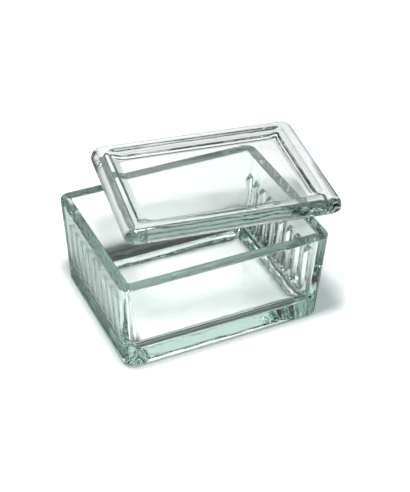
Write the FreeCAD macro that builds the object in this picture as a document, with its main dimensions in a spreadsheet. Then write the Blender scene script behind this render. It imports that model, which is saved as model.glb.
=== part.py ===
"""Slide staining jar: a pressed-glass dish with grooves for slides, and its loose glass lid.

The dish stands with the centre of its base at the origin, +Z up and its long side along X.
The lid lies flat on the rim, turned and pushed back so that the mouth is part open.
"""

import FreeCAD, Part
import math
import os

import Sketcher

PARTS_FOLDER = "parts"
TOLERANCE = 1e-4

DIMENSIONS = (
    # dish, outside
    ("jar_height", 40.5, "mm, base to rim"),
    ("rim_length", 90.0, "mm, outside, along X"),
    ("rim_width", 72.0, "mm, outside, along Y"),
    ("outer_draft", 2.9, "degrees, draft of the outer walls"),
    ("outer_corner", 5.0, "mm, radius down the four outer corners"),
    ("base_edge", 1.4, "mm, radius round the foot"),
    ("rim_edge", 0.7, "mm, radius of the fire-polished rim, both sides"),
    # dish, inside
    ("end_wall", 4.5, "mm, thickness of the short walls at the rim"),
    ("side_wall", 5.2, "mm, thickness of the long walls at the rim"),
    ("inner_draft", 2.9, "degrees, draft of the inner walls"),
    ("floor_thickness", 3.9, "mm"),
    ("floor_cove", 7.0, "mm, radius between the walls and the floor"),
    # slide ribs
    ("rib_count", 9, "ribs on each end wall, for one slide groove more"),
    ("rib_pitch", 6.2, "mm, centre to centre"),
    ("rib_root", 3.4, "mm, width at the wall"),
    ("rib_reach", 2.6, "mm, how far a rib stands out of the wall"),
    ("rib_nose", 1.1, "mm, radius of the rounded tip"),
    ("rib_low", 9.4, "mm above the base, lower end"),
    ("rib_high", 31.5, "mm above the base, where the rounded top meets the wall"),
    ("rib_shoulder", 3.6, "mm, height of the rounded top"),
    ("shoulder_clear", 0.2, "mm in front of the tips where that rounding starts"),
    ("rib_rooting", 1.0, "mm of rib buried in the wall, to join it"),
    # lid
    ("lid_length", 90.8, "mm"),
    ("lid_width", 68.2, "mm"),
    ("lid_corner", 5.2, "mm, radius of the upright corners"),
    ("brim_thickness", 6.0, "mm, the raised border"),
    ("brim_crown", 4.5, "mm, radius over the border's outer edge"),
    ("brim_under", 1.0, "mm, radius under the border's outer edge"),
    ("plug_depth", 2.5, "mm, step under the lid that drops into the mouth"),
    ("plug_clearance", 0.6, "mm between plug and mouth on each side, lid closed"),
    ("plug_corner", 2.5, "mm"),
    ("plug_edge", 0.8, "mm, radius round the plug's underside"),
    ("pan_inset", 6.4, "mm from the lid's edge to the upper edge of the sunk panel's sides"),
    ("pan_depth", 3.5, "mm, border top down to the panel"),
    ("pan_slope", 53.0, "degrees out of upright, of the sides down to the panel"),
    ("pan_corner", 3.0, "mm, radius down the panel's four corners"),
    ("pan_brow", 2.5, "mm, radius where the border turns down"),
    ("pan_foot", 2.5, "mm, radius where the sides meet the panel"),
    # how the lid lies
    ("lid_shift_x", 16.0, "mm"),
    ("lid_shift_y", 13.8, "mm"),
    ("lid_turn", -8.5, "degrees about Z"),
    ("lid_air", 0.04, "mm of air between the rim and the lid lying on it"),
)


def make_sheet(doc):
    """Spreadsheet of the driving dimensions: plain numbers, each cell named by an alias."""
    sheet = doc.addObject("Spreadsheet::Sheet", "dims")
    for row, (alias, value, note) in enumerate(DIMENSIONS, start=1):
        sheet.set("A%d" % row, alias)
        sheet.set("B%d" % row, str(value))
        sheet.set("C%d" % row, note)
        sheet.setAlias("B%d" % row, alias)
    doc.recompute()
    return sheet


def origin_feature(body, role):
    """The body's own origin plane or axis, found by its role, such as XY_Plane."""
    return next(item for item in body.Origin.OriginFeatures if item.Role == role)


def new_sketch(body, name, height=None, plane="XY_Plane"):
    """Sketch on one of the body's origin planes, raised by an expression if one is given."""
    sketch = body.newObject("Sketcher::SketchObject", name)
    sketch.AttachmentSupport = [(origin_feature(body, plane), "")]
    sketch.MapMode = "FlatFace"
    if height is not None:
        sketch.setExpression("AttachmentOffset.Base.z", height)
    return sketch


def bind(sketch, name, constraint, expression):
    """Add a sized constraint under a name and drive its value by an expression."""
    index = sketch.addConstraint(constraint)
    sketch.renameConstraint(index, name)
    sketch.setExpression("Constraints." + name, expression)


def round_rectangle(sketch, length, width, corner, start=(80.0, 60.0, 3.0)):
    """Rounded rectangle centred on the sketch's origin, its three sizes bound to expressions."""
    half_x, half_y, radius = start[0] / 2, start[1] / 2, start[2]
    flat_x, flat_y = half_x - radius, half_y - radius

    def point(x, y):
        return FreeCAD.Vector(x, y, 0)

    def line(x0, y0, x1, y1):
        sketch.addGeometry(Part.LineSegment(point(x0, y0), point(x1, y1)), False)

    def arc(x, y, first_quarter):
        circle = Part.Circle(point(x, y), FreeCAD.Vector(0, 0, 1), radius)
        begin = first_quarter * math.pi / 2
        sketch.addGeometry(Part.ArcOfCircle(circle, begin, begin + math.pi / 2), False)

    line(-flat_x, -half_y, flat_x, -half_y)
    arc(flat_x, -flat_y, 3)
    line(half_x, -flat_y, half_x, flat_y)
    arc(flat_x, flat_y, 0)
    line(flat_x, half_y, -flat_x, half_y)
    arc(-flat_x, flat_y, 1)
    line(-half_x, flat_y, -half_x, -flat_y)
    arc(-flat_x, -flat_y, 2)
    for edge in range(8):
        sketch.addConstraint(Sketcher.Constraint("Tangent", edge, 2, (edge + 1) % 8, 1))
    sketch.addConstraint(Sketcher.Constraint("Horizontal", 4))
    sketch.addConstraint(Sketcher.Constraint("Vertical", 6))
    for edge in (1, 3, 5):
        sketch.addConstraint(Sketcher.Constraint("Equal", edge, edge + 2))
    sketch.addConstraint(Sketcher.Constraint("Symmetric", 0, 1, 0, 2, -2))
    sketch.addConstraint(Sketcher.Constraint("Symmetric", 2, 1, 2, 2, -1))
    bind(sketch, "span_x", Sketcher.Constraint("DistanceX", 6, 1, 2, 2, 2 * half_x), length)
    bind(sketch, "span_y", Sketcher.Constraint("DistanceY", 0, 1, 4, 2, 2 * half_y), width)
    bind(sketch, "corner", Sketcher.Constraint("Radius", 1, radius), corner)
    return sketch


def sharp_rectangle(sketch, length, width, start=(80.0, 60.0)):
    """Plain rectangle centred on the sketch's origin, both sizes bound to expressions."""
    half_x, half_y = start[0] / 2, start[1] / 2
    corners = ((-half_x, -half_y), (half_x, -half_y), (half_x, half_y), (-half_x, half_y))
    for index, (x, y) in enumerate(corners):
        next_x, next_y = corners[(index + 1) % 4]
        sketch.addGeometry(
            Part.LineSegment(FreeCAD.Vector(x, y, 0), FreeCAD.Vector(next_x, next_y, 0)), False
        )
    for edge in range(4):
        sketch.addConstraint(Sketcher.Constraint("Coincident", edge, 2, (edge + 1) % 4, 1))
    for edge in (0, 2):
        sketch.addConstraint(Sketcher.Constraint("Horizontal", edge))
    for edge in (1, 3):
        sketch.addConstraint(Sketcher.Constraint("Vertical", edge))
    sketch.addConstraint(Sketcher.Constraint("Symmetric", 0, 1, 1, 2, -1, 1))
    bind(sketch, "span_x", Sketcher.Constraint("DistanceX", 0, 1, 0, 2, 2 * half_x), length)
    bind(sketch, "span_y", Sketcher.Constraint("DistanceY", 1, 1, 1, 2, 2 * half_y), width)
    return sketch


def edges_where(shape, wanted):
    """Names of the shape's edges whose bounding box passes the test."""
    return [
        "Edge%d" % number
        for number, edge in enumerate(shape.Edges, start=1)
        if wanted(edge.BoundBox, edge)
    ]


def at_height(height):
    """Test for an edge that lies in the level plane at this height."""

    def wanted(box, _edge):
        return abs(box.ZMin - height) < TOLERANCE and abs(box.ZMax - height) < TOLERANCE

    return wanted


def round_edges(doc, body, base, name, wanted, radius):
    """Fillet, bound to an expression, on every edge of the base feature that passes the test."""
    names = edges_where(base.Shape, wanted)
    if not names:
        raise ValueError("no edges found for " + name)
    fillet = body.newObject("PartDesign::Fillet", name)
    fillet.Base = (base, names)
    fillet.setExpression("Radius", radius)
    doc.recompute()
    return fillet


def upright_faces(shape, reach_x, reach_y):
    """Names of the shape's four flat upright faces that stand at x = +-reach_x and y = +-reach_y."""
    names = []
    for number, face in enumerate(shape.Faces, start=1):
        box = face.BoundBox
        at_x = box.XLength < TOLERANCE and abs(abs(box.XMax) - reach_x) < TOLERANCE
        at_y = box.YLength < TOLERANCE and abs(abs(box.YMax) - reach_y) < TOLERANCE
        if at_x or at_y:
            names.append("Face%d" % number)
    if len(names) != 4:
        raise ValueError("expected four upright faces, found %d" % len(names))
    return names


def draft_walls(doc, body, base, name, reach, height, angle, inward):
    """Lean the four walls at this reach, keeping their outline at the given height."""
    level = next(
        "Face%d" % number
        for number, face in enumerate(base.Shape.Faces, start=1)
        if at_height(height)(face.BoundBox, None)
    )
    draft = body.newObject("PartDesign::Draft", name)
    draft.Base = (base, upright_faces(base.Shape, *reach))
    draft.NeutralPlane = (base, [level])
    draft.Reversed = inward
    draft.setExpression("Angle", angle)
    doc.recompute()
    return draft


def inner_wall(height):
    """Expression for the distance of an end wall's inner face from the middle, at this height."""
    drop = "(dims.jar_height - (%s)) * tan(dims.inner_draft * 1 deg)" % height
    return "dims.rim_length / 2 - dims.end_wall - %s" % drop


def span_x(side, geometry, position, distance):
    """Constraint for a point's distance from the sketch's upright axis, side +1 or -1 of it."""
    if side > 0:
        return Sketcher.Constraint("DistanceX", -1, 1, geometry, position, distance)
    return Sketcher.Constraint("DistanceX", geometry, position, -1, 1, distance)


def rib_section(sketch, sheet, side):
    """Cross-section of the end rib: drafted flanks joined by a round nose, rooted in the wall."""
    root, nose = sheet.rib_root / 2, sheet.rib_nose
    at_y = -sheet.rib_pitch * (sheet.rib_count - 1) / 2
    inner, outer = sheet.rib_reach - nose, sheet.rib_rooting

    def point(x, y):
        return FreeCAD.Vector(side * x, at_y + y, 0)

    begin = math.pi / 2 if side > 0 else -math.pi / 2
    circle = Part.Circle(point(-inner, 0), FreeCAD.Vector(0, 0, 1), nose)
    sketch.addGeometry(Part.LineSegment(point(outer, -root), point(-inner, -nose)), False)
    sketch.addGeometry(Part.ArcOfCircle(circle, begin, begin + math.pi), False)
    sketch.addGeometry(Part.LineSegment(point(-inner, nose), point(outer, root)), False)
    sketch.addGeometry(Part.LineSegment(point(outer, root), point(outer, -root)), False)
    lower_end, upper_end = (2, 1) if side > 0 else (1, 2)
    sketch.addConstraint(Sketcher.Constraint("Tangent", 0, 2, 1, lower_end))
    sketch.addConstraint(Sketcher.Constraint("Tangent", 1, upper_end, 2, 1))
    sketch.addConstraint(Sketcher.Constraint("Coincident", 2, 2, 3, 1))
    sketch.addConstraint(Sketcher.Constraint("Coincident", 3, 2, 0, 1))
    sketch.addConstraint(Sketcher.Constraint("Vertical", 3))
    sketch.addConstraint(Sketcher.Constraint("Equal", 0, 2))
    bind(sketch, "nose", Sketcher.Constraint("Radius", 1, nose), "dims.rib_nose")
    bind(sketch, "root", Sketcher.Constraint("DistanceY", 3, 2, 3, 1, 2 * root), "dims.rib_root")
    bind(
        sketch,
        "from_middle",
        Sketcher.Constraint("DistanceY", 1, 3, -1, 1, -at_y),
        "dims.rib_pitch * (dims.rib_count - 1) / 2",
    )
    bind(sketch, "rooting", span_x(side, 3, 1, outer), "dims.rib_rooting")
    bind(sketch, "nose_centre", span_x(-side, 1, 3, inner), "dims.rib_reach - dims.rib_nose")
    return sketch


def make_rib(doc, body, sheet, side):
    """End rib of one end wall, side +1 or -1, running up along the leaning wall."""
    name = "rib_right" if side > 0 else "rib_left"
    sketch = new_sketch(body, name + "_section")
    lean = FreeCAD.Rotation(FreeCAD.Vector(0, side, 0), sheet.inner_draft)
    sketch.AttachmentOffset = FreeCAD.Placement(FreeCAD.Vector(), lean)
    foot = inner_wall("dims.rib_low")
    sketch.setExpression("AttachmentOffset.Base.x", "%d * (%s)" % (side, foot))
    sketch.setExpression("AttachmentOffset.Base.z", "dims.rib_low")
    sketch.setExpression("AttachmentOffset.Rotation.Angle", "dims.inner_draft * 1 deg")
    rib_section(sketch, sheet, side)
    doc.recompute()
    rib = body.newObject("PartDesign::Pad", name)
    rib.Profile = sketch
    rib.setExpression("Length", "(dims.rib_high - dims.rib_low) / cos(dims.inner_draft * 1 deg)")
    doc.recompute()
    return rib


def shoulder_outline(sketch, sheet, side):
    """Space to clear above the ribs of one end wall: an arc from the tips up to the wall."""
    draft = math.tan(math.radians(sheet.inner_draft))
    wall = sheet.rim_length / 2 - sheet.end_wall - (sheet.jar_height - sheet.rib_high) * draft
    start = sheet.rib_high - sheet.rib_shoulder
    tip = wall - sheet.rib_shoulder * draft - sheet.rib_reach - sheet.shoulder_clear
    top = sheet.rib_high + sheet.rib_reach
    width, rise = wall - tip, sheet.rib_shoulder
    radius = (width**2 + rise**2) / (2 * width)
    turn = math.atan2(rise, radius - width)

    def point(x, z):
        return FreeCAD.Vector(side * x, z, 0)

    circle = Part.Circle(point(tip + radius, start), FreeCAD.Vector(0, 0, 1), radius)
    begin, end = (math.pi - turn, math.pi) if side > 0 else (0.0, turn)
    sketch.addGeometry(Part.ArcOfCircle(circle, begin, end), False)
    sketch.addGeometry(Part.LineSegment(point(wall, sheet.rib_high), point(tip, top)), False)
    sketch.addGeometry(Part.LineSegment(point(tip, top), point(tip, start)), False)
    at_wall, at_tip = (1, 2) if side > 0 else (2, 1)
    sketch.addConstraint(Sketcher.Constraint("Coincident", 0, at_wall, 1, 1))
    sketch.addConstraint(Sketcher.Constraint("Coincident", 1, 2, 2, 1))
    sketch.addConstraint(Sketcher.Constraint("Coincident", 2, 2, 0, at_tip))
    sketch.addConstraint(Sketcher.Constraint("Vertical", 2))
    sketch.addConstraint(Sketcher.Constraint("Horizontal", 0, 3, 0, at_tip))
    shoulder = "dims.rib_high - dims.rib_shoulder"
    reach = "dims.rib_reach + dims.shoulder_clear"
    bind(
        sketch,
        "tip_x",
        span_x(side, 2, 2, tip),
        "%s - (%s)" % (inner_wall(shoulder), reach),
    )
    bind(sketch, "tip_z", Sketcher.Constraint("DistanceY", -1, 1, 2, 2, start), shoulder)
    bind(sketch, "wall_x", span_x(side, 1, 1, wall), inner_wall("dims.rib_high"))
    bind(
        sketch,
        "wall_z",
        Sketcher.Constraint("DistanceY", -1, 1, 1, 1, sheet.rib_high),
        "dims.rib_high",
    )
    bind(
        sketch,
        "top_z",
        Sketcher.Constraint("DistanceY", -1, 1, 1, 2, top),
        "dims.rib_high + dims.rib_reach",
    )
    return sketch


def round_rib_tops(doc, body, sheet, side):
    """Cut the tops of all ribs of one end wall back to a rounded shoulder."""
    name = "shoulders_right" if side > 0 else "shoulders_left"
    sketch = shoulder_outline(new_sketch(body, name + "_outline", plane="XZ_Plane"), sheet, side)
    doc.recompute()
    before = body.Tip.Shape.Volume
    shoulders = body.newObject("PartDesign::Pocket", name)
    shoulders.Profile = sketch
    shoulders.SideType = "Symmetric"
    shoulders.setExpression("Length", "dims.rib_pitch * dims.rib_count")
    doc.recompute()
    if not 0 < shoulders.Shape.Volume < before:
        raise ValueError(name + " cut nothing")
    return shoulders


def make_jar(doc, sheet):
    """The dish: drafted block, drafted cavity with a coved floor, slide ribs and rounded edges."""
    body = doc.addObject("PartDesign::Body", "staining_jar")
    rim = sharp_rectangle(
        new_sketch(body, "rim_outline", "dims.jar_height"), "dims.rim_length", "dims.rim_width"
    )
    block = body.newObject("PartDesign::Pad", "block")
    block.Profile = rim
    block.Reversed = True
    block.setExpression("Length", "dims.jar_height")
    doc.recompute()
    outside = (sheet.rim_length / 2, sheet.rim_width / 2)
    leaning = draft_walls(
        doc, body, block, "outer_walls", outside, sheet.jar_height, "dims.outer_draft", True
    )

    def upright(box, _edge):
        return box.ZLength > sheet.jar_height / 2

    corners = round_edges(doc, body, leaning, "outer_corners", upright, "dims.outer_corner")
    foot_edges = round_edges(doc, body, corners, "foot_edges", at_height(0), "dims.base_edge")

    mouth = sharp_rectangle(
        new_sketch(body, "mouth_outline", "dims.jar_height"),
        "dims.rim_length - 2 * dims.end_wall",
        "dims.rim_width - 2 * dims.side_wall",
    )
    cavity = body.newObject("PartDesign::Pocket", "cavity")
    cavity.Profile = mouth
    cavity.setExpression("Length", "dims.jar_height - dims.floor_thickness")
    doc.recompute()
    if not 0 < cavity.Shape.Volume < foot_edges.Shape.Volume:
        raise ValueError("the cavity was not cut")
    inside = (outside[0] - sheet.end_wall, outside[1] - sheet.side_wall)
    inner_walls = draft_walls(
        doc, body, cavity, "inner_walls", inside, sheet.jar_height, "dims.inner_draft", False
    )

    cove = round_edges(
        doc, body, inner_walls, "floor_cove", at_height(sheet.floor_thickness), "dims.floor_cove"
    )
    rim_edges = round_edges(
        doc, body, cove, "rim_edges", at_height(sheet.jar_height), "dims.rim_edge"
    )

    ribs = [make_rib(doc, body, sheet, side) for side in (1, -1)]
    if ribs[-1].Shape.Volume <= rim_edges.Shape.Volume:
        raise ValueError("the ribs added nothing")
    rows = body.newObject("PartDesign::LinearPattern", "rib_rows")
    rows.Originals = ribs
    rows.Direction = (origin_feature(body, "Y_Axis"), [""])
    rows.setExpression("Length", "dims.rib_pitch * (dims.rib_count - 1)")
    rows.setExpression("Occurrences", "dims.rib_count")
    body.Tip = rows
    doc.recompute()
    for side in (1, -1):
        round_rib_tops(doc, body, sheet, side)
    return body


def make_lid(doc, sheet):
    """The lid: raised round-edged border, sunk panel, and a plug below that fits the mouth."""
    body = doc.addObject("PartDesign::Body", "lid")
    outline = round_rectangle(
        new_sketch(body, "brim_outline", "dims.plug_depth"),
        "dims.lid_length",
        "dims.lid_width",
        "dims.lid_corner",
    )
    brim = body.newObject("PartDesign::Pad", "brim")
    brim.Profile = outline
    brim.setExpression("Length", "dims.brim_thickness")
    doc.recompute()
    top = sheet.plug_depth + sheet.brim_thickness

    crown = round_edges(doc, body, brim, "brim_crown", at_height(top), "dims.brim_crown")
    under = round_edges(
        doc, body, crown, "brim_under", at_height(sheet.plug_depth), "dims.brim_under"
    )

    plug_outline = round_rectangle(
        new_sketch(body, "plug_outline", "dims.plug_depth"),
        "dims.rim_length - 2 * dims.end_wall - 2 * dims.plug_clearance",
        "dims.rim_width - 2 * dims.side_wall - 2 * dims.plug_clearance",
        "dims.plug_corner",
    )
    plug = body.newObject("PartDesign::Pad", "plug")
    plug.Profile = plug_outline
    plug.Reversed = True
    plug.setExpression("Length", "dims.plug_depth")
    doc.recompute()
    if plug.Shape.Volume <= under.Shape.Volume:
        raise ValueError("the plug added nothing")
    plug_edges = round_edges(doc, body, plug, "plug_edges", at_height(0), "dims.plug_edge")

    pan_outline = sharp_rectangle(
        new_sketch(body, "pan_outline", "dims.plug_depth + dims.brim_thickness"),
        "dims.lid_length - 2 * dims.pan_inset",
        "dims.lid_width - 2 * dims.pan_inset",
    )
    pan = body.newObject("PartDesign::Pocket", "pan")
    pan.Profile = pan_outline
    pan.setExpression("Length", "dims.pan_depth")
    pan.setExpression("TaperAngle", "-dims.pan_slope * 1 deg")
    doc.recompute()
    if pan.Shape.Volume >= plug_edges.Shape.Volume:
        raise ValueError("the pan cut nothing")

    def pan_corner_edge(box, _edge):
        return box.ZLength > sheet.pan_depth / 2 and box.ZMin > top - sheet.pan_depth - TOLERANCE and (
            max(abs(box.XMin), abs(box.XMax)) < sheet.lid_length / 2 - sheet.pan_inset + TOLERANCE
        )

    corners = round_edges(doc, body, pan, "pan_corners", pan_corner_edge, "dims.pan_corner")
    foot = round_edges(
        doc, body, corners, "pan_foot", at_height(top - sheet.pan_depth), "dims.pan_foot"
    )

    def brow_edge(box, _edge):
        reach = sheet.lid_length / 2 - sheet.pan_inset + TOLERANCE
        return at_height(top)(box, None) and box.XMax < reach and box.XMin > -reach

    brow = round_edges(doc, body, foot, "pan_brow", brow_edge, "dims.pan_brow")
    body.Tip = brow
    body.setExpression("Placement.Base.x", "dims.lid_shift_x")
    body.setExpression("Placement.Base.y", "dims.lid_shift_y")
    body.setExpression("Placement.Base.z", "dims.jar_height + dims.lid_air")
    body.Placement = FreeCAD.Placement(
        FreeCAD.Vector(), FreeCAD.Rotation(FreeCAD.Vector(0, 0, 1), sheet.lid_turn)
    )
    body.setExpression("Placement.Rotation.Angle", "dims.lid_turn * 1 deg")
    doc.recompute()
    return body


def check_document(doc, bodies):
    """Stop if any object has failed or any sub-part is empty, invalid or not one solid."""
    for item in doc.Objects:
        if "Invalid" in item.State or "Error" in item.State:
            raise ValueError("%s is in state %s" % (item.Name, item.State))
    for body in bodies:
        shape = body.Shape
        if shape.isNull() or not shape.isValid() or len(shape.Solids) != 1:
            raise ValueError("%s is not one valid solid" % body.Label)


def main():
    """Build the document, check it and write one STEP file for each sub-part."""
    doc = FreeCAD.newDocument("slide_staining_jar")
    sheet = make_sheet(doc)
    bodies = [make_jar(doc, sheet), make_lid(doc, sheet)]
    doc.recompute()
    check_document(doc, bodies)
    os.makedirs(PARTS_FOLDER, exist_ok=True)
    for body in bodies:
        body.Shape.exportStep(os.path.join(PARTS_FOLDER, body.Label + ".step"))
        box = body.Shape.BoundBox
        print(
            "%s: %.2f cm3, x %.2f to %.2f, y %.2f to %.2f, z %.2f to %.2f"
            % (
                body.Label,
                body.Shape.Volume / 1000,
                box.XMin,
                box.XMax,
                box.YMin,
                box.YMax,
                box.ZMin,
                box.ZMax,
            )
        )


main()
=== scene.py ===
"""Slide staining jar: a pressed-glass dish with slide ribs, and its loose glass lid.

Each piece is one closed skin of clear glass, woven from level rounded-rectangle rings. The
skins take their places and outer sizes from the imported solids, which they stand for. Sizes
in the dataclasses are in millimetres unless they say otherwise.
"""

import logging
import math
from collections.abc import Callable, Sequence
from dataclasses import dataclass, field
from enum import Enum

import bpy
from mathutils import Matrix, Vector


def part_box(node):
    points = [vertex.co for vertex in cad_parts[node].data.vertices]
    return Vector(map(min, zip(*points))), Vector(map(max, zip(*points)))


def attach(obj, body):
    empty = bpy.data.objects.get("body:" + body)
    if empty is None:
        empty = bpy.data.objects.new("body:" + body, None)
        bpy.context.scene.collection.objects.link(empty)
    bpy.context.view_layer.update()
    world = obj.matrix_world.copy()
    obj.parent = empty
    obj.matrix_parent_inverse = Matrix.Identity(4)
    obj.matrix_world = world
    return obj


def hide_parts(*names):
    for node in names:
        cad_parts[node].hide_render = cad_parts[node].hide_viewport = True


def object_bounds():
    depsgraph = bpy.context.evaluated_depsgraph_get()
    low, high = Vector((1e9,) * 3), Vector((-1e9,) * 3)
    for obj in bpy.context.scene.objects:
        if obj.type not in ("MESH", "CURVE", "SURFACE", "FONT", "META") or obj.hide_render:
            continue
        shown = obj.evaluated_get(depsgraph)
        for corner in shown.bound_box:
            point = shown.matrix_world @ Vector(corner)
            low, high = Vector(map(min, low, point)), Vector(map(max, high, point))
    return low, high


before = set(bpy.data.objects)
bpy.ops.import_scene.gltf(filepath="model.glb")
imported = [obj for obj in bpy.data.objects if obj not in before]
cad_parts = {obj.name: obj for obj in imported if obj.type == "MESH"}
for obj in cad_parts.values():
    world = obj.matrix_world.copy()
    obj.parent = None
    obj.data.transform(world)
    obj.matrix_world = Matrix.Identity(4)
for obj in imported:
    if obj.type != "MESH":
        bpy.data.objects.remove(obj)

MM = 0.001
CAD_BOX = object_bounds()
LOG = logging.getLogger("staining_jar")

Colour = tuple[float, float, float]
Place = tuple[float, float, float]
Span = tuple[float, float]
ProfilePoint = tuple[float, float]
ProfileCorner = tuple[float, float, float]

WHITE: Colour = (1.0, 1.0, 1.0)
LEAST_CORNER = 0.6
PLAIN_BLEND = 0.5
BROAD_DETAIL, FINE_DETAIL = 1.0, 2.0
GLASS_BOUNCES = 32
MIRROR_BOUNCES = 16


# ---------------------------------------------------------------- outlines and skins


@dataclass(frozen=True)
class Ring:
    """One level outline of a skin, a rounded rectangle."""

    half_x: float
    half_y: float
    corner: float
    z: float


@dataclass(frozen=True)
class Stations:
    """Where the points of a ring stand, the same on every ring of one skin.

    Attributes:
        ends: places across a short wall.
        sides: places along a long wall, as shares of half its flat.
        arc_steps: straight steps round each corner.
        end_clear: least distance from the last place on a short wall to the corner.
    """

    ends: tuple[float, ...]
    sides: tuple[float, ...] = (-0.5, 0.0, 0.5)
    arc_steps: int = 10
    end_clear: float = 0.3

    def along_end(self, flat: float) -> list[float]:
        """Places across a short wall, drawn together where the wall is too short for them."""
        shrink = min(1.0, flat / (max(self.ends) + self.end_clear))
        return [y * shrink for y in self.ends]


def round_path(
    corners: Sequence[ProfileCorner], steps: int = 8, guard: float = 0.12
) -> list[ProfilePoint]:
    """Round the corners of an open path.

    Args:
        corners: (inset, height, radius) of each corner.
        steps: straight steps in each rounding.
        guard: distance of an extra point before and after each rounding, which keeps the
            flats beside it flat.

    Returns:
        The points (inset, height) of the rounded path.
    """
    points = [corners[0][:2]]
    for before, here, after in zip(corners, corners[1:], corners[2:]):
        corner = Vector(here[:2])
        back = (Vector(before[:2]) - corner).normalized()
        ahead = (Vector(after[:2]) - corner).normalized()
        half_turn = (math.pi - back.angle(ahead)) / 2
        reach = here[2] * math.tan(half_turn)
        centre = corner + (back + ahead).normalized() * here[2] / math.cos(half_turn)
        start = corner + back * reach - centre
        finish = corner + ahead * reach - centre
        points.append(tuple(corner + back * (reach + guard)))
        for step in range(steps + 1):
            sweep = start.slerp(finish, step / steps)
            points.append(tuple(centre + sweep.normalized() * here[2]))
        points.append(tuple(corner + ahead * (reach + guard)))
    points.append(corners[-1][:2])
    return points


def inset_at(path: Sequence[ProfilePoint], height: float) -> float:
    """Inset of a falling path where it passes a height.

    Args:
        path: points (inset, height), from the top down.
        height: the height asked for.

    Returns:
        The inset there.
    """
    for (inset, above), (next_inset, below) in zip(path, path[1:]):
        if above >= height >= below and above > below:
            return inset + (next_inset - inset) * (above - height) / (above - below)
    return path[-1][0]


def ring_points(
    ring: Ring, stations: Stations, relief: Callable[[float, float], float] | None = None
) -> list[Vector]:
    """Points of one ring, counter-clockwise from the right-hand short wall.

    Args:
        ring: the outline.
        stations: where its points stand.
        relief: how far the short walls stand in at (y, height).

    Returns:
        The points, in millimetres.
    """
    flat_x, flat_y = ring.half_x - ring.corner, ring.half_y - ring.corner
    points: list[Vector] = []

    def end_wall(side: int) -> None:
        """Add the points across one short wall, on side 1 or -1."""
        for y in stations.along_end(flat_y):
            depth = relief(y, ring.z) if relief else 0.0
            points.append(Vector((side * (ring.half_x - depth), side * y, ring.z)))

    def side_wall(side: int) -> None:
        """Add the points along one long wall, on side 1 or -1."""
        for share in stations.sides:
            points.append(Vector((-side * share * flat_x, side * ring.half_y, ring.z)))

    def corner(side_x: int, side_y: int, begin: int) -> None:
        """Add the points round one corner, a quarter turn from an angle in degrees."""
        for step in range(stations.arc_steps + 1):
            angle = math.radians(begin + 90 * step / stations.arc_steps)
            x = side_x * flat_x + ring.corner * math.cos(angle)
            y = side_y * flat_y + ring.corner * math.sin(angle)
            points.append(Vector((x, y, ring.z)))

    end_wall(1)
    corner(1, 1, 0)
    side_wall(1)
    corner(-1, 1, 90)
    end_wall(-1)
    corner(-1, -1, 180)
    side_wall(-1)
    corner(1, -1, 270)
    return points


def weave_skin(name: str, rings: Sequence[Sequence[Vector]], place: Matrix) -> bpy.types.Object:
    """Closed smooth skin over rings of equally many points, with a flat cap at each end.

    Args:
        name: name of the new piece.
        rings: the points of each ring in millimetres, from one cap to the other.
        place: where the piece stands, in metres.

    Returns:
        The linked mesh object.
    """
    count = len(rings[0])
    last = count * (len(rings) - 1)
    points = [place @ (point * MM) for ring in rings for point in ring]
    faces: list[tuple[int, ...]] = []
    for low in range(0, last, count):
        for here in range(count):
            ahead = (here + 1) % count
            faces.append((low + here, low + ahead, low + count + ahead, low + count + here))
    faces.append(tuple(reversed(range(count))))
    faces.append(tuple(range(last, last + count)))
    mesh = bpy.data.meshes.new(name)
    mesh.from_pydata(points, [], faces)
    mesh.validate()
    mesh.polygons.foreach_set("use_smooth", [True] * len(mesh.polygons))
    mesh.update()
    piece = bpy.data.objects.new(name, mesh)
    bpy.context.scene.collection.objects.link(piece)
    return piece


# ---------------------------------------------------------------- nodes of a finish


class Flow(Enum):
    """Whether a socket leads into a node group or out of it."""

    INTO = "INPUT"
    OUT = "OUTPUT"


class Carries(Enum):
    """What a socket of a node group carries."""

    NUMBER = "NodeSocketFloat"
    PLACE = "NodeSocketVector"
    COLOUR = "NodeSocketColor"


class Maths(Enum):
    """What a maths node does with its two values."""

    MULTIPLY = "MULTIPLY"
    SUBTRACT = "SUBTRACT"
    MAXIMUM = "MAXIMUM"


def add_socket(group: bpy.types.NodeTree, name: str, flow: Flow, carries: Carries) -> None:
    """Add one named socket to a node group."""
    group.interface.new_socket(name=name, in_out=flow.value, socket_type=carries.value)


def maths_node(tree: bpy.types.NodeTree, maths: Maths, clamp: bool = False) -> bpy.types.Node:
    """Maths node of one kind, held between 0 and 1 if it is clamped.

    Args:
        tree: node tree to add it to.
        maths: what it does.
        clamp: whether its value is held between 0 and 1.

    Returns:
        The new node.
    """
    node = tree.nodes.new("ShaderNodeMath")
    node.operation = maths.value
    node.use_clamp = clamp
    return node


def colour_mix(tree: bpy.types.NodeTree, first: Colour, second: Colour) -> bpy.types.Node:
    """Mix of two colours, the first at factor 0 and the second at factor 1.

    Args:
        tree: node tree to add it to.
        first: colour at factor 0.
        second: colour at factor 1.

    Returns:
        The new node.
    """
    mix = tree.nodes.new("ShaderNodeMix")
    mix.data_type = "RGBA"
    mix.inputs["A"].default_value = (*first, 1.0)
    mix.inputs["B"].default_value = (*second, 1.0)
    return mix


def soft_fade(tree: bpy.types.NodeTree, across: Span, to: Span = (0.0, 1.0)) -> bpy.types.Node:
    """Fade with soft ends.

    Args:
        tree: node tree to add it to.
        across: values between which it fades.
        to: what it gives before and after them.

    Returns:
        The new node.
    """
    fade = tree.nodes.new("ShaderNodeMapRange")
    fade.interpolation_type = "SMOOTHSTEP"
    fade.inputs["From Min"].default_value, fade.inputs["From Max"].default_value = across
    fade.inputs["To Min"].default_value, fade.inputs["To Max"].default_value = to
    return fade


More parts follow.
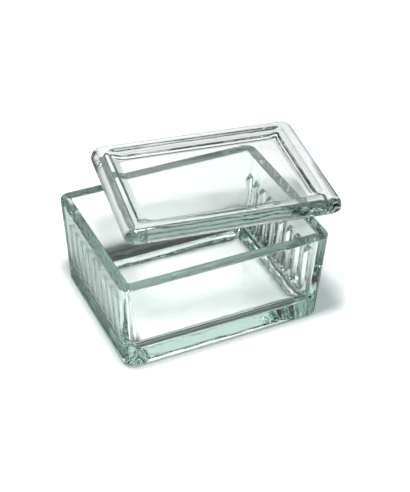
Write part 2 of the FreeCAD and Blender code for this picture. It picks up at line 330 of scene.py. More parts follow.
def facing_node(tree: bpy.types.NodeTree) -> bpy.types.Node:
    """Layer Weight node whose Facing is 0 where the surface is met square on, 1 along it.

    Args:
        tree: node tree to add it to.

    Returns:
        The new node.
    """
    facing = tree.nodes.new("ShaderNodeLayerWeight")
    facing.inputs["Blend"].default_value = PLAIN_BLEND
    return facing


def mould_ripple_group() -> bpy.types.NodeTree:
    """Node group for the unevenness that a press mould leaves in a glass surface.

    Returns:
        The group. Inputs: Place, Broad Scale and Fine Scale of the noise, Fine Share. Output:
        Height, from 0 to 1.
    """
    name = "mould_ripple"
    if name in bpy.data.node_groups:
        return bpy.data.node_groups[name]
    group = bpy.data.node_groups.new(name, "ShaderNodeTree")
    add_socket(group, "Place", Flow.INTO, Carries.PLACE)
    for number in ("Broad Scale", "Fine Scale", "Fine Share"):
        add_socket(group, number, Flow.INTO, Carries.NUMBER)
    add_socket(group, "Height", Flow.OUT, Carries.NUMBER)
    nodes, links = group.nodes, group.links
    entry = nodes.new("NodeGroupInput")
    leave = nodes.new("NodeGroupOutput")
    broad = nodes.new("ShaderNodeTexNoise")
    broad.inputs["Detail"].default_value = BROAD_DETAIL
    fine = nodes.new("ShaderNodeTexNoise")
    fine.inputs["Detail"].default_value = FINE_DETAIL
    both = nodes.new("ShaderNodeMix")
    links.new(entry.outputs["Place"], broad.inputs["Vector"])
    links.new(entry.outputs["Place"], fine.inputs["Vector"])
    links.new(entry.outputs["Broad Scale"], broad.inputs["Scale"])
    links.new(entry.outputs["Fine Scale"], fine.inputs["Scale"])
    links.new(entry.outputs["Fine Share"], both.inputs["Factor"])
    links.new(broad.outputs["Fac"], both.inputs["A"])
    links.new(fine.outputs["Fac"], both.inputs["B"])
    links.new(both.outputs["Result"], leave.inputs["Height"])
    return group


def painted_slant_shade_group() -> bpy.types.NodeTree:
    """Node group for painted shade: clear glass drawn darker and greener where it is seen at a
    slant.

    Returns:
        The group. Inputs: Facing, Slant From and Slant To, between which the painted shade comes
            in,
        and Shade Colour, its colour. Output: Tone, white where the glass is seen square on.
    """
    name = "slant_tint"
    if name in bpy.data.node_groups:
        return bpy.data.node_groups[name]
    group = bpy.data.node_groups.new(name, "ShaderNodeTree")
    for number in ("Facing", "Slant From", "Slant To"):
        add_socket(group, number, Flow.INTO, Carries.NUMBER)
    add_socket(group, "Tint", Flow.INTO, Carries.COLOUR)
    add_socket(group, "Tone", Flow.OUT, Carries.COLOUR)
    entry = group.nodes.new("NodeGroupInput")
    leave = group.nodes.new("NodeGroupOutput")
    slant = soft_fade(group, (0.0, 1.0))
    tone = colour_mix(group, WHITE, WHITE)
    links = group.links
    links.new(entry.outputs["Facing"], slant.inputs["Value"])
    links.new(entry.outputs["Slant From"], slant.inputs["From Min"])
    links.new(entry.outputs["Slant To"], slant.inputs["From Max"])
    links.new(slant.outputs["Result"], tone.inputs["Factor"])
    links.new(entry.outputs["Tint"], tone.inputs["B"])
    links.new(tone.outputs["Result"], leave.inputs["Tone"])
    return group


@dataclass(frozen=True)
class PressedGlass:
    """Clear soda-lime glass with a faint grey-green body colour and a moulded surface.

    Its shadow is that of real glass in soft light: thin where light falls square on it, deep
    where light meets it at a slant, and between the two under the flat of a rim.

    Attributes:
        name: name of the material.
        ior: index of refraction.
        body_colour: colour that light takes on in the body.
        body_density: how fast it takes it on, per metre.
        broad_scale: scale of the broad waves in the surface.
        fine_scale: scale of the fine waves.
        fine_share: share of the fine waves in the ripple.
        ripple_depth: depth of the ripple, in metres.
        rim_height: height of the flat of the rim in metres, None where there is no rim.
        rim_fade: depths below the flat at which its finish begins and is full.
        rim_roughness: roughness of the flat.
        rim_shadow: share of the edge shadow that the flat casts.
        clear_shadow: light let through where it falls square on.
        edge_shadow: light let through where it falls at a slant.
        shadow_slant: facing values between which the shadow deepens.
        slant_tint: painted shade, the darker green of the surface where it is seen at a slant.
        painted_shade_slant: facing values between which that painted shade comes in.
    """

    name: str
    ior: float = 1.52
    body_colour: Colour = (0.50, 0.80, 0.71)
    body_density: float = 15.0
    broad_scale: float = 70.0
    fine_scale: float = 320.0
    fine_share: float = 0.08
    ripple_depth: float = 0.00032
    rim_height: float | None = None
    rim_fade: Span = (0.25, 0.05)
    rim_roughness: float = 0.04
    rim_shadow: float = 0.4
    clear_shadow: Colour = (0.99, 0.99, 0.99)
    edge_shadow: Colour = (0.05, 0.07, 0.065)
    shadow_slant: Span = (0.03, 0.16)
    # Painted shade: the dark green that the glass is drawn with where it is seen at a slant.
    slant_tint: Colour = (0.25, 0.36, 0.32)
    painted_shade_slant: Span = (0.5, 0.8)

    def make(self) -> bpy.types.Material:
        """Build the material.

        Returns:
            The new material.
        """
        material = bpy.data.materials.new(self.name)
        material.use_nodes = True
        tree = material.node_tree
        tree.nodes.clear()
        rim = self._rim(tree) if self.rim_height is not None else None
        surface = self._surface(tree, rim)
        shade = self._shadow(tree, rim)
        output = tree.nodes.new("ShaderNodeOutputMaterial")
        mix = tree.nodes.new("ShaderNodeMixShader")
        light_path = tree.nodes.new("ShaderNodeLightPath")
        tree.links.new(light_path.outputs["Is Shadow Ray"], mix.inputs[0])
        tree.links.new(surface.outputs[0], mix.inputs[1])
        tree.links.new(shade.outputs[0], mix.inputs[2])
        tree.links.new(mix.outputs[0], output.inputs["Surface"])
        body = tree.nodes.new("ShaderNodeVolumeAbsorption")
        body.inputs["Color"].default_value = (*self.body_colour, 1.0)
        body.inputs["Density"].default_value = self.body_density
        tree.links.new(body.outputs[0], output.inputs["Volume"])
        return material

    def _surface(self, tree: bpy.types.NodeTree, rim: bpy.types.Node | None) -> bpy.types.Node:
        """The clear surface, rippled by the mould, a little rough on the flat of a rim, and
        drawn darker and greener where seen at a slant as painted shade.

        Args:
            tree: node tree of the material.
            rim: node whose Result is 1 on the flat of the rim, if there is one.

        Returns:
            The shader.
        """
        shader = tree.nodes.new("ShaderNodeBsdfPrincipled")
        shader.inputs["IOR"].default_value = self.ior
        shader.inputs["Roughness"].default_value = 0.0
        shader.inputs["Transmission Weight"].default_value = 1.0
        bump = self._ripple(tree)
        tree.links.new(bump.outputs["Normal"], shader.inputs["Normal"])
        facing = facing_node(tree)
        # Painted shade: the base colour turns a darker green where the glass is seen at a slant.
        slant_shade = tree.nodes.new("ShaderNodeGroup")
        slant_shade.node_tree = painted_slant_shade_group()
        slant_shade.inputs["Slant From"].default_value = self.painted_shade_slant[0]
        slant_shade.inputs["Slant To"].default_value = self.painted_shade_slant[1]
        slant_shade.inputs["Tint"].default_value = (*self.slant_tint, 1.0)
        tree.links.new(bump.outputs["Normal"], facing.inputs["Normal"])
        tree.links.new(facing.outputs["Facing"], slant_shade.inputs["Facing"])
        tree.links.new(slant_shade.outputs["Tone"], shader.inputs["Base Color"])
        if rim is not None:
            rough = maths_node(tree, Maths.MULTIPLY)
            rough.inputs[1].default_value = self.rim_roughness
            tree.links.new(rim.outputs["Result"], rough.inputs[0])
            tree.links.new(rough.outputs["Value"], shader.inputs["Roughness"])
        return shader

    def _ripple(self, tree: bpy.types.NodeTree) -> bpy.types.Node:
        """The ripple that the mould leaves.

        Args:
            tree: node tree of the material.

        Returns:
            The bump node.
        """
        place = tree.nodes.new("ShaderNodeTexCoord")
        ripple = tree.nodes.new("ShaderNodeGroup")
        ripple.node_tree = mould_ripple_group()
        ripple.inputs["Broad Scale"].default_value = self.broad_scale
        ripple.inputs["Fine Scale"].default_value = self.fine_scale
        ripple.inputs["Fine Share"].default_value = self.fine_share
        bump = tree.nodes.new("ShaderNodeBump")
        bump.inputs["Strength"].default_value = 1.0
        bump.inputs["Distance"].default_value = self.ripple_depth
        tree.links.new(place.outputs["Object"], ripple.inputs["Place"])
        tree.links.new(ripple.outputs["Height"], bump.inputs["Height"])
        return bump

    def _rim(self, tree: bpy.types.NodeTree) -> bpy.types.Node:
        """Where the flat of the rim is.

        Args:
            tree: node tree of the material.

        Returns:
            Node whose Result is 1 on the flat and fades to 0 just below it.
        """
        place = tree.nodes.new("ShaderNodeTexCoord")
        split = tree.nodes.new("ShaderNodeSeparateXYZ")
        fade = tree.nodes.new("ShaderNodeMapRange")
        begin, full = self.rim_fade
        fade.inputs["From Min"].default_value = self.rim_height - begin * MM
        fade.inputs["From Max"].default_value = self.rim_height - full * MM
        tree.links.new(place.outputs["Object"], split.inputs["Vector"])
        tree.links.new(split.outputs["Z"], fade.inputs["Value"])
        return fade

    def _shadow(self, tree: bpy.types.NodeTree, rim: bpy.types.Node | None) -> bpy.types.Node:
        """What lamp light does at the surface: it passes where it falls square on clear glass.

        Args:
            tree: node tree of the material.
            rim: node whose Result is 1 on the flat of the rim, if there is one.

        Returns:
            The shader.
        """
        facing = facing_node(tree)
        slant = soft_fade(tree, self.shadow_slant)
        tone = colour_mix(tree, self.clear_shadow, self.edge_shadow)
        passing = tree.nodes.new("ShaderNodeBsdfTransparent")
        tree.links.new(facing.outputs["Facing"], slant.inputs["Value"])
        tree.links.new(tone.outputs["Result"], passing.inputs["Color"])
        if rim is None:
            tree.links.new(slant.outputs["Result"], tone.inputs["Factor"])
            return passing
        held_by_rim = maths_node(tree, Maths.MULTIPLY)
        held_by_rim.inputs[1].default_value = self.rim_shadow
        held = maths_node(tree, Maths.MAXIMUM)
        tree.links.new(rim.outputs["Result"], held_by_rim.inputs[0])
        tree.links.new(slant.outputs["Result"], held.inputs[0])
        tree.links.new(held_by_rim.outputs["Value"], held.inputs[1])
        tree.links.new(held.outputs["Value"], tone.inputs["Factor"])
        return passing


# ---------------------------------------------------------------- dish


@dataclass(frozen=True)
class SlideRib:
    """One of the upright ribs that keep the slides apart.

    Attributes:
        reach: how far the nose stands out of the wall.
        nose: radius of the nose.
        root: width at the root, measured at the depth of rooting behind the wall.
        rooting: that depth.
        low: height of the foot.
        foot_rise: height over which the foot is rounded.
        high: height of the top.
        shoulder: height over which the top is rounded.
        shoulder_clear: how far that rounding passes in front of the nose.
        root_softness: softness of the run from the flank into the wall.
        nose_angles: angles in degrees at which the nose is sampled.
        flank_step: distance between samples of the flank.
        flank_count: how many of them there are.
        root_places: samples of the run into the wall.
    """

    reach: float = 2.6
    nose: float = 1.1
    root: float = 3.4
    rooting: float = 1.0
    low: float = 9.2
    foot_rise: float = 1.2
    high: float = 31.5
    shoulder: float = 3.6
    shoulder_clear: float = 0.2
    root_softness: float = 0.3
    nose_angles: tuple[float, ...] = (0, 22, 45, 68)
    flank_step: float = 0.08
    flank_count: int = 6
    root_places: tuple[float, ...] = (1.62, 1.85, 2.3)

    def half_section(self) -> tuple[float, ...]:
        """Places across half the rib where its section is sampled.

        Returns:
            Distances from the middle of the rib, rising.
        """
        tangent = self.flank_start()[1]
        nose = [tangent * math.sin(math.radians(angle)) for angle in self.nose_angles]
        flank = [tangent + step * self.flank_step for step in range(self.flank_count)]
        return (*nose, *flank, *self.root_places)

    def flank_start(self) -> ProfilePoint:
        """Where the round nose runs over into the flank.

        Returns:
            Depth in front of the wall and half width.
        """
        centre = self.reach - self.nose
        span = math.hypot(centre + self.rooting, self.root / 2)
        lean = math.atan2(self.root / 2, centre + self.rooting) - math.asin(self.nose / span)
        return centre + self.nose * math.sin(lean), self.nose * math.cos(lean)

    def section(self, across: float) -> float:
        """Depth of the rib at a distance from its middle plane, with a soft root.

        Args:
            across: distance from the middle of the rib.

        Returns:
            How far the rib stands out of the wall there.
        """
        depth, width = self.flank_start()
        across = abs(across)
        if across < width:
            return self.reach - self.nose + math.sqrt(max(0.0, self.nose**2 - across**2))
        slope = (depth + self.rooting) / (self.root / 2 - width)
        straight = depth - slope * (across - width)
        return (straight + math.hypot(straight, self.root_softness)) / 2

    def limit(self, z: float) -> float:
        """Most that the rib may stand out at a height: round at its foot and its shoulder.

        Args:
            z: height above the base.

        Returns:
            The greatest depth at that height.
        """
        if z <= self.low or z >= self.high:
            return 0.0
        width = self.reach + self.shoulder_clear
        if z < self.low + self.foot_rise:
            share = 1.0 - (z - self.low) / self.foot_rise
            return width * math.sqrt(1.0 - share**2)
        rise = z - (self.high - self.shoulder)
        if rise <= 0:
            return width
        radius = (width**2 + self.shoulder**2) / (2 * width)
        return max(0.0, width - radius + math.sqrt(radius**2 - rise**2))


@dataclass
class Dish:
    """The staining jar itself: drafted walls, coved floor and slide ribs on both short walls.

    Attributes:
        node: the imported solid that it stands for.
        name: name of the piece.
        outer_draft: lean of the outer walls, in degrees.
        outer_corner: radius of the upright outer corners at the rim.
        base_edge: radius of the edge round the base.
        rim_edge: radius of both edges of the rim.
        end_wall: thickness of the short walls at the rim.
        side_wall: thickness of the long walls at the rim.
        inner_draft: lean of the inner walls, in degrees.
        inner_corner: radius of the upright inner corners at the rim.
        floor: thickness of the floor.
        cove: radius between the walls and the floor.
        base_ring: inset of the base's innermost ring.
        floor_ring: how far inside the cove the floor's last ring lies.
        outer_flat: how far the outer skin runs in on the flat of the rim.
        inner_flat: how far the inner skin runs out on it.
        ring_gap: least height between a ring of the cove and one that shapes the ribs.
        shoulder_rings: steps over the shoulders of the ribs.
        foot_shares: where rings lie over the rounding of the ribs' feet.
        over_shoulder: height of a plain ring over the ribs.
        plain_run: distance of a ring from the shoulders and the feet, on the straight ribs.
        rib_count: number of ribs on a short wall.
        rib_pitch: distance between their middles.
        rib: shape of each rib.
    """

    node: str = "staining_jar"
    name: str = "staining_jar_glass"
    outer_draft: float = 2.9
    outer_corner: float = 5.0
    base_edge: float = 1.4
    rim_edge: float = 0.7
    end_wall: float = 4.5
    side_wall: float = 5.2
    inner_draft: float = 2.9
    inner_corner: float = 0.9
    floor: float = 3.2
    cove: float = 10.5
    base_ring: float = 9.0
    floor_ring: float = 5.0
    outer_flat: float = 2.0
    inner_flat: float = 1.6
    ring_gap: float = 0.05
    shoulder_rings: int = 12
    foot_shares: tuple[float, ...] = (1.0, 0.6, 0.32, 0.12, 0.03, 0.0)
    over_shoulder: float = 0.15
    plain_run: float = 1.5
    rib_count: int = 9
    rib_pitch: float = 6.2
    rib: SlideRib = field(default_factory=SlideRib)

    def build(self, glass: PressedGlass) -> bpy.types.Object:
        """Weave the dish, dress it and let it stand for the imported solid.

        Args:
            glass: its finish.

        Returns:
            The piece.
        """
        low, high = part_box(self.node)
        half_x, half_y = (high.x - low.x) / 2 / MM, (high.y - low.y) / 2 / MM
        height = (high.z - low.z) / MM
        stations = self._stations()
        rings = [ring_points(ring, stations) for ring in self._outside(half_x, half_y, height)]
        for ring in self._inside(half_x, half_y, height):
            rings.append(ring_points(ring, stations, self._relief))
        place = Matrix.Translation(((low.x + high.x) / 2, (low.y + high.y) / 2, low.z))
        piece = weave_skin(self.name, rings, place)
        piece.data.materials.append(glass.make())
        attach(piece, "root")
        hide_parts(self.node)
        return piece

    def _stations(self) -> Stations:
        """Points across a short wall: close together at each rib, and none needed between.

        Returns:
            The stations of every ring of the dish.
        """
        half = self.rib.half_section()
        across = sorted({-place for place in half} | set(half))
        middle = (self.rib_count - 1) / 2
        ribs = [(number - middle) * self.rib_pitch for number in range(self.rib_count)]
        return Stations(ends=tuple(rib + place for rib in ribs for place in across))

    def _relief(self, y: float, z: float) -> float:
        """How far the short wall stands in at a place, for the ribs.

        Args:
            y: place across the wall.
            z: height above the base.

        Returns:
            The depth in front of the wall.
        """
        last = (self.rib_count - 1) / 2
        number = min(last, max(-last, round(y / self.rib_pitch)))
        return min(self.rib.section(y - number * self.rib_pitch), self.rib.limit(z))

    def _outside(self, half_x: float, half_y: float, height: float) -> list[Ring]:
        """Rings from the middle of the base over the outer walls to the flat of the rim.

        Args:
            half_x: half the length at the rim.
            half_y: half the width at the rim.
            height: height of the rim.

        Returns:
            The rings, from the base up.
        """
        slope = math.tan(math.radians(self.outer_draft))
        path = round_path(
            (
                (self.base_ring, 0.0, 0.0),
                (height * slope, 0.0, self.base_edge),
                (0.0, height, self.rim_edge),
                (self.outer_flat, height, 0.0),
            )
        )
        rings = []
        for inset, z in path:
            corner = max(LEAST_CORNER, self.outer_corner - inset + (height - z) * slope)
            rings.append(Ring(half_x - inset, half_y - inset, corner, z))
        return rings

    def _inside(self, half_x: float, half_y: float, height: float) -> list[Ring]:
        """Rings from the flat of the rim down the inner walls to the middle of the floor.

        Args:
            half_x: half the length at the rim.
            half_y: half the width at the rim.
            height: height of the rim.

        Returns:
            The rings, from the rim down. Rings at one height go inwards.
        """
        slope = math.tan(math.radians(self.inner_draft))
        path = round_path(
            (
                (-self.inner_flat, height, 0.0),
                (0.0, height, self.rim_edge),
                ((height - self.floor) * slope, self.floor, self.cove),
                (self.cove + self.floor_ring, self.floor, 0.0),
            )
        )
        rim = [point for point in path if point[1] > height - 3 * self.rim_edge]
        wall = [(inset_at(path, z), z) for z in self._rib_heights()]
        cove = [
            point
            for point in path[len(rim) :]
            if all(abs(point[1] - z) > self.ring_gap for _, z in wall)
        ]
        falling = sorted((*wall, *cove), key=lambda point: (-round(point[1], 4), point[0]))
        rings = []
        for inset, z in (*rim, *falling):
            corner = self.inner_corner + max(0.0, (height - z) * slope - inset)
            inner_x = half_x - self.end_wall - inset
            inner_y = half_y - self.side_wall - inset
            rings.append(Ring(inner_x, inner_y, corner, z))
        return rings

    def _rib_heights(self) -> list[float]:
        """Heights of the rings that shape the ribs, from their shoulders to their feet.

        Returns:
            The heights, from the top down.
        """
        rib = self.rib
        start = rib.high - rib.shoulder
        count = self.shoulder_rings
        shoulders = [start + rib.shoulder * share / count for share in range(count, -1, -1)]
        feet = [rib.low + rib.foot_rise * share for share in self.foot_shares]
        straight = (start - self.plain_run, feet[0] + self.plain_run)
        return [rib.high + self.over_shoulder, *shoulders, *straight, *feet]


# ---------------------------------------------------------------- lid


@dataclass
class Lid:
    """The loose lid: a plug for the mouth below, a round raised border and a sunk panel above.

    Attributes:
        node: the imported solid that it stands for.
        name: name of the piece.
        length: length over the border.
        width: width over the border.
        corner: radius of the border's upright corners.
        crown: radius of the border's outer edge above.
        under: radius of its outer edge below.
        plug_length: length of the plug.
        plug_width: width of the plug.
        plug_depth: depth of the plug.
        plug_corner: radius of the plug's upright corners.
        plug_edge: radius of its lower edge.
        plug_root: radius where it meets the border.
        plug_lap: how far the plug's last ring lies out under the border.
        border_lap: how far the border's first ring lies in from its outer edge.
        pan_inset: inset of the sunk panel's upper edge.
        pan_depth: depth of the panel.
        pan_slope: lean of the panel's sides, in degrees.
        pan_corner: radius of the panel's corners.
        pan_round: radius of the panel's upper and lower edges.
        pan_ring: how far inside the panel's foot its last ring lies.
        base_ring: inset of the innermost ring under the plug.
        crown_clear: inset past the crown at which the panel's corners take over.
        round_steps: straight steps in each rounding of the border.
        end_stations: places of points across the short sides.
        turn: how far it is turned on the dish, in degrees.
    """

    node: str = "lid"
    name: str = "lid_glass"
    length: float = 90.78
    width: float = 68.18
    corner: float = 5.2
    crown: float = 4.5
    under: float = 1.0
    plug_length: float = 79.8
    plug_width: float = 60.4
    plug_depth: float = 2.5
    plug_corner: float = 2.5
    plug_edge: float = 0.8
    plug_root: float = 0.25
    plug_lap: float = 0.6
    border_lap: float = 1.8
    pan_inset: float = 6.4
    pan_depth: float = 3.5
    pan_slope: float = 53.0
    pan_corner: float = 3.0
    pan_round: float = 2.5
    pan_ring: float = 4.0
    base_ring: float = 9.0
    crown_clear: float = 0.2
    round_steps: int = 12
    end_stations: tuple[float, ...] = (-18.0, -9.0, 0.0, 9.0, 18.0)
    turn: float = -8.5

    def build(self, glass: PressedGlass) -> bpy.types.Object:
        """Weave the lid as it lies on the rim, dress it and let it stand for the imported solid.

        Args:
            glass: its finish.

        Returns:
            The piece.
        """
        low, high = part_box(self.node)
        height = (high.z - low.z) / MM
        stations = Stations(ends=self.end_stations)
        rings = [ring_points(ring, stations) for ring in (*self._plug(), *self._border(height))]
        place = Matrix.Translation(((low.x + high.x) / 2, (low.y + high.y) / 2, low.z))
        place = place @ Matrix.Rotation(math.radians(self.turn), 4, "Z")
        piece = weave_skin(self.name, rings, place)
        piece.data.materials.append(glass.make())
        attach(piece, "root")
        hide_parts(self.node)
        return piece

    def _plug(self) -> list[Ring]:
        """Rings of the plug, from the middle of its underside up to the border's underside.

        Returns:
            The rings, from the bottom up.
        """
        path = round_path(
            (
                (self.base_ring, 0.0, 0.0),
                (0.0, 0.0, self.plug_edge),
                (0.0, self.plug_depth, self.plug_root),
                (-self.plug_lap, self.plug_depth, 0.0),
            )
        )
        half_x, half_y = self.plug_length / 2, self.plug_width / 2
        return [
            Ring(half_x - inset, half_y - inset, max(LEAST_CORNER, self.plug_corner - inset), z)
            for inset, z in path
        ]

    def _border(self, height: float) -> list[Ring]:
        """Rings from under the border over its crown and down into the sunk panel.

        Args:
            height: height of the lid.

        Returns:
            The rings, from the underside to the middle of the panel.
        """
        foot = self.pan_inset + self.pan_depth * math.tan(math.radians(self.pan_slope))
        panel = height - self.pan_depth
        path = round_path(
            (
                (self.border_lap, self.plug_depth, 0.0),
                (0.0, self.plug_depth, self.under),
                (0.0, height, self.crown),
                (self.pan_inset, height, self.pan_round),
                (foot, panel, self.pan_round),
                (foot + self.pan_ring, panel, 0.0),
            ),
            steps=self.round_steps,
        )
        half_x, half_y = self.length / 2, self.width / 2
        rings = []
        for inset, z in path:
            corner = self.corner - inset
            if inset > self.crown + self.crown_clear:
                corner = self.pan_corner + max(0.0, self.pan_inset - inset)
            rings.append(Ring(half_x - inset, half_y - inset, max(LEAST_CORNER, corner), z))
        return rings


# ---------------------------------------------------------------- studio


@dataclass(frozen=True)
class Lamp:
    """A square soft lamp.

    Attributes:
        name: name of the lamp.
        place: where it stands, in metres.
        aim: the point that it faces, in metres.
        size: length of its side, in metres.
        power: its power, in watts.
    """

    name: str = "soft_lamp"
    place: Place = (-0.035, -0.025, 0.25)
    aim: Place = (0.0, 0.0, 0.02)
    size: float = 0.07
    power: float = 1.26

    def build(self) -> None:
        """Make the lamp."""
        light = bpy.data.lights.new(self.name, "AREA")
        light.shape = "SQUARE"
        light.size = self.size
        light.energy = self.power
        lamp = bpy.data.objects.new(self.name, light)
        bpy.context.scene.collection.objects.link(lamp)
        lamp.location = self.place
        aim = Vector(self.aim) - lamp.location
        lamp.rotation_euler = aim.to_track_quat("-Z", "Y").to_euler()


@dataclass(frozen=True)
class Table:
    """A round pale table top, just under the object.

    Attributes:
        radius: its radius, in metres.
        sides: straight sides of its outline.
        below: how far it lies below the object, in metres.
        colour: its colour.
        painted_mirror_shade: its colour as glass mirrors it, darker: painted shade in the
            glass's reflections.
        painted_shade_glow: what it adds to its lit colour for the eye under and beside the
            object, dim and cool: painted shade round the object.
        far: distances, in metres, between which that painted shade fades to white.
    """

    radius: float = 1.5
    sides: int = 96
    below: float = 0.0001
    colour: Colour = (0.78, 0.79, 0.785)
    # Painted shade: the table as glass mirrors it is drawn darker than it is lit.
    painted_mirror_shade: Colour = (0.35, 0.35, 0.35)
    # Painted shade: what the table glows with for the eye is dim and cool near the object.
    painted_shade_glow: Colour = (0.33, 0.37, 0.375)
    far: Span = (0.11, 0.28)

    def build(self) -> None:
        """Make the table top."""
        height = CAD_BOX[0][2] - self.below
        turns = [math.tau * step / self.sides for step in range(self.sides)]
        corners = [
            (self.radius * math.cos(turn), self.radius * math.sin(turn), height)
            for turn in turns
        ]
        mesh = bpy.data.meshes.new("table_top")
        mesh.from_pydata(corners, [], [tuple(range(self.sides))])
        mesh.materials.append(self._finish())
        table = bpy.data.objects.new("table_top", mesh)
        bpy.context.scene.collection.objects.link(table)

    def _finish(self) -> bpy.types.Material:
        """The table's white: it takes shadows, is drawn darker in the glass as painted shade,
        and glows for the eye alone, dim and cool near the object as painted shade.

        Returns:
            The new material.
        """
        material = bpy.data.materials.new("table_white")
        material.use_nodes = True
        tree = material.node_tree
        tree.nodes.clear()
        light_path = tree.nodes.new("ShaderNodeLightPath")
        diffuse = tree.nodes.new("ShaderNodeBsdfDiffuse")
        # Painted shade: rays that glass reflects see the table darker than the lamps light it.
        tone = colour_mix(tree, self.colour, self.painted_mirror_shade)
        mirror_shade_mask = maths_node(tree, Maths.SUBTRACT, clamp=True)
        tree.links.new(light_path.outputs["Is Glossy Ray"], mirror_shade_mask.inputs[0])
        tree.links.new(light_path.outputs["Is Transmission Ray"], mirror_shade_mask.inputs[1])
        tree.links.new(mirror_shade_mask.outputs["Value"], tone.inputs["Factor"])
        tree.links.new(tone.outputs["Result"], diffuse.inputs["Color"])
        # Painted shade: the table glows white for the eye far off, but dim and cool near the
        # object.
        painted_shade_glow = tree.nodes.new("ShaderNodeEmission")
        painted_shade_glow_tone = self._painted_shade_glow_tone(tree)
        tree.links.new(painted_shade_glow_tone.outputs["Result"], painted_shade_glow.inputs["Color"])
        tree.links.new(light_path.outputs["Is Camera Ray"], painted_shade_glow.inputs["Strength"])
        both = tree.nodes.new("ShaderNodeAddShader")
        output = tree.nodes.new("ShaderNodeOutputMaterial")
        tree.links.new(diffuse.outputs[0], both.inputs[0])
        tree.links.new(painted_shade_glow.outputs[0], both.inputs[1])
        tree.links.new(both.outputs[0], output.inputs["Surface"])
        return material

    def _painted_shade_glow_tone(self, tree: bpy.types.NodeTree) -> bpy.types.Node:
        """The tone that the table glows with for the eye: dim and cool at the object as painted
        shade, white far away.

        Args:
            tree: node tree of the material.

        Returns:
            Node whose Result is the tone.
        """
        place = tree.nodes.new("ShaderNodeTexCoord")
        away = tree.nodes.new("ShaderNodeVectorMath")
        away.operation = "LENGTH"
        far = soft_fade(tree, self.far)
        tone = colour_mix(tree, self.painted_shade_glow, WHITE)
        tree.links.new(place.outputs["Object"], away.inputs[0])
        tree.links.new(away.outputs["Value"], far.inputs["Value"])
        tree.links.new(far.outputs["Result"], tone.inputs["Factor"])
        return tone


@dataclass(frozen=True)
class Room:
    """A bright soft dome and a pale screen over dark low walls, which give glass its edges.

    Attributes:
        dome: brightness of the dome.
        dome_edge: sine of the elevation at which the dome ends.
        dome_softness: how far its edge is spread on either side.
        low_walls: brightness below the dome.
        screen_azimuth: direction of the screen's middle from +x, in degrees.
        screen_width: cosines from that direction between which the screen fades in.
        screen_rise: sines of elevation between which it goes from its lower to its upper
            brightness.
        screen: those two brightnesses.
        room_share: share of the room that lights the object and the table.
        glass_share: share of it that shows in the glass.
    """

    dome: float = 1.0
    dome_edge: float = 0.78
    dome_softness: float = 0.12
    low_walls: float = 0.04
    screen_azimuth: float = 48.0
    screen_width: Span = (0.35, 0.7)
    screen_rise: Span = (0.1, 0.6)
    screen: Span = (0.45, 1.0)
    room_share: float = 0.32
    glass_share: float = 1.04

    def build(self) -> None:
        """Make the world: the room for glass and light, plain white for the eye."""
        world = bpy.data.worlds.new("studio_room")
        bpy.context.scene.world = world
        world.use_nodes = True
        tree = world.node_tree
        tree.nodes.clear()
        links = tree.links
        light_path = tree.nodes.new("ShaderNodeLightPath")
        walls = self._walls(tree)
        share = self._share(tree, light_path)
        shown = maths_node(tree, Maths.MULTIPLY)
        links.new(walls.outputs["Value"], shown.inputs[0])
        links.new(share.outputs["Result"], shown.inputs[1])
        seen = tree.nodes.new("ShaderNodeMix")
        seen.inputs["B"].default_value = 1.0
        links.new(light_path.outputs["Is Camera Ray"], seen.inputs["Factor"])
        links.new(shown.outputs["Value"], seen.inputs["A"])
        background = tree.nodes.new("ShaderNodeBackground")
        background.inputs["Color"].default_value = (*WHITE, 1.0)
        output = tree.nodes.new("ShaderNodeOutputWorld")
        links.new(seen.outputs["Result"], background.inputs["Strength"])
        links.new(background.outputs[0], output.inputs["Surface"])

    def _walls(self, tree: bpy.types.NodeTree) -> bpy.types.Node:
        """Brightness of the room in every direction: the dome, or the screen where brighter.

        Args:
            tree: node tree of the world.

        Returns:
            Node whose Value is the brightness.
        """
        links = tree.links
        direction = tree.nodes.new("ShaderNodeTexCoord")
        split = tree.nodes.new("ShaderNodeSeparateXYZ")
        links.new(direction.outputs["Generated"], split.inputs["Vector"])
        edge = (self.dome_edge - self.dome_softness, self.dome_edge + self.dome_softness)
        dome = soft_fade(tree, edge, (self.low_walls, self.dome))
        links.new(split.outputs["Z"], dome.inputs["Value"])
        towards = tree.nodes.new("ShaderNodeVectorMath")
        towards.operation = "DOT_PRODUCT"
        azimuth = math.radians(self.screen_azimuth)
        towards.inputs[1].default_value = (math.cos(azimuth), math.sin(azimuth), 0.0)
        links.new(direction.outputs["Generated"], towards.inputs[0])
        width = soft_fade(tree, self.screen_width)
        links.new(towards.outputs["Value"], width.inputs["Value"])
        level = soft_fade(tree, self.screen_rise, self.screen)
        links.new(split.outputs["Z"], level.inputs["Value"])
        screen = maths_node(tree, Maths.MULTIPLY)
        links.new(width.outputs["Result"], screen.inputs[0])
        links.new(level.outputs["Result"], screen.inputs[1])
        brighter = maths_node(tree, Maths.MAXIMUM)
        links.new(dome.outputs["Result"], brighter.inputs[0])
        links.new(screen.outputs["Value"], brighter.inputs[1])
        return brighter

    def _share(self, tree: bpy.types.NodeTree, light_path: bpy.types.Node) -> bpy.types.Node:
        """Share of the room that counts: one for light, another for what shows in glass.

        Args:
            tree: node tree of the world.
            light_path: its Light Path node.

        Returns:
            Node whose Result is the share.
        """
        in_glass = maths_node(tree, Maths.MAXIMUM)
        tree.links.new(light_path.outputs["Is Transmission Ray"], in_glass.inputs[0])
        tree.links.new(light_path.outputs["Is Glossy Ray"], in_glass.inputs[1])
        share = tree.nodes.new("ShaderNodeMix")
        share.inputs["A"].default_value = self.room_share
        share.inputs["B"].default_value = self.glass_share
        tree.links.new(in_glass.outputs["Value"], share.inputs["Factor"])
        return share


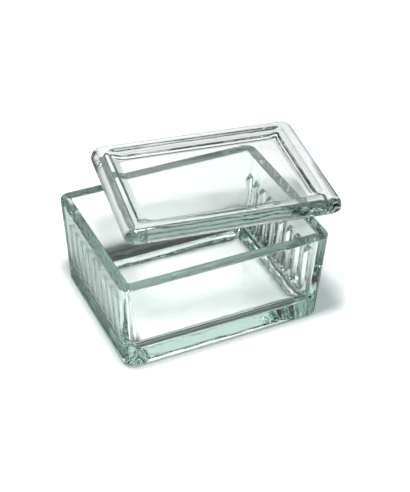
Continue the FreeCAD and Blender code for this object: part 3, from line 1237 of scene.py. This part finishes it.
@dataclass(frozen=True)
class Camera:
    """A long lens from the front left, above.

    Attributes:
        azimuth: angle from the front, in degrees.
        elevation: angle above the table, in degrees.
        roll: turn about the line of sight, in degrees.
        distance: distance from the point it looks at.
        lens: focal length.
        sensor: width of the sensor.
        nearest: nearest distance shown.
        aim_right: how far right of the middle of the dish's base it looks.
        aim_up: how far above it.
    """

    azimuth: float = -25.82
    elevation: float = 36.54
    roll: float = 1.24
    distance: float = 522.12
    lens: float = 90.0
    sensor: float = 36.0
    nearest: float = 10.0
    aim_right: float = 5.99
    aim_up: float = 19.96

    def build(self) -> None:
        """Make the camera, aimed from the middle of the dish's base."""
        azimuth, elevation = math.radians(self.azimuth), math.radians(self.elevation)
        back = Vector(
            (
                math.sin(azimuth) * math.cos(elevation),
                -math.cos(azimuth) * math.cos(elevation),
                math.sin(elevation),
            )
        )
        level = Vector((0.0, 0.0, 1.0)).cross(back).normalized()
        right = Matrix.Rotation(math.radians(self.roll), 3, back) @ level
        upward = back.cross(right)
        low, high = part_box("staining_jar")
        foot = Vector(((low.x + high.x) / 2, (low.y + high.y) / 2, low.z))
        aim = foot + (right * self.aim_right + upward * self.aim_up) * MM
        lens = bpy.data.cameras.new("camera")
        lens.lens = self.lens
        lens.sensor_width = self.sensor
        lens.clip_start = self.nearest * MM
        camera = bpy.data.objects.new("camera", lens)
        bpy.context.scene.collection.objects.link(camera)
        turn = Matrix((right, upward, back)).transposed().to_4x4()
        camera.matrix_world = Matrix.Translation(aim + back * self.distance * MM) @ turn
        bpy.context.scene.camera = camera


@dataclass(frozen=True)
class Studio:
    """Pale table, soft lamp, room and camera round the object."""

    table: Table = Table()
    lamp: Lamp = Lamp()
    room: Room = Room()
    camera: Camera = Camera()

    def build(self) -> None:
        """Make the table, the lamp, the room and the camera."""
        for part in (self.table, self.lamp, self.room, self.camera):
            part.build()


def main() -> None:
    """Build the dish, the lid and the studio."""
    logging.basicConfig(level=logging.INFO, format="%(name)s: %(message)s")
    scene = bpy.context.scene
    scene.view_settings.view_transform = "Standard"
    scene.cycles.max_bounces = GLASS_BOUNCES
    scene.cycles.transmission_bounces = GLASS_BOUNCES
    scene.cycles.glossy_bounces = MIRROR_BOUNCES
    scene.cycles.transparent_max_bounces = MIRROR_BOUNCES
    scene.cycles.caustics_refractive = False
    scene.cycles.caustics_reflective = False
    dish = Dish()
    dish_glass = PressedGlass("dish_glass", rim_height=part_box(dish.node)[1].z)
    lid_glass = PressedGlass(
        "lid_glass",
        body_colour=(0.60, 0.72, 0.69),
        body_density=28.0,
        edge_shadow=(0.35, 0.39, 0.38),
    )
    for piece in (dish.build(dish_glass), Lid().build(lid_glass)):
        LOG.info("%s: %d faces", piece.name, len(piece.data.polygons))
    Studio().build()
    LOG.info("studio ready")


if __name__ == "__main__":
    main()
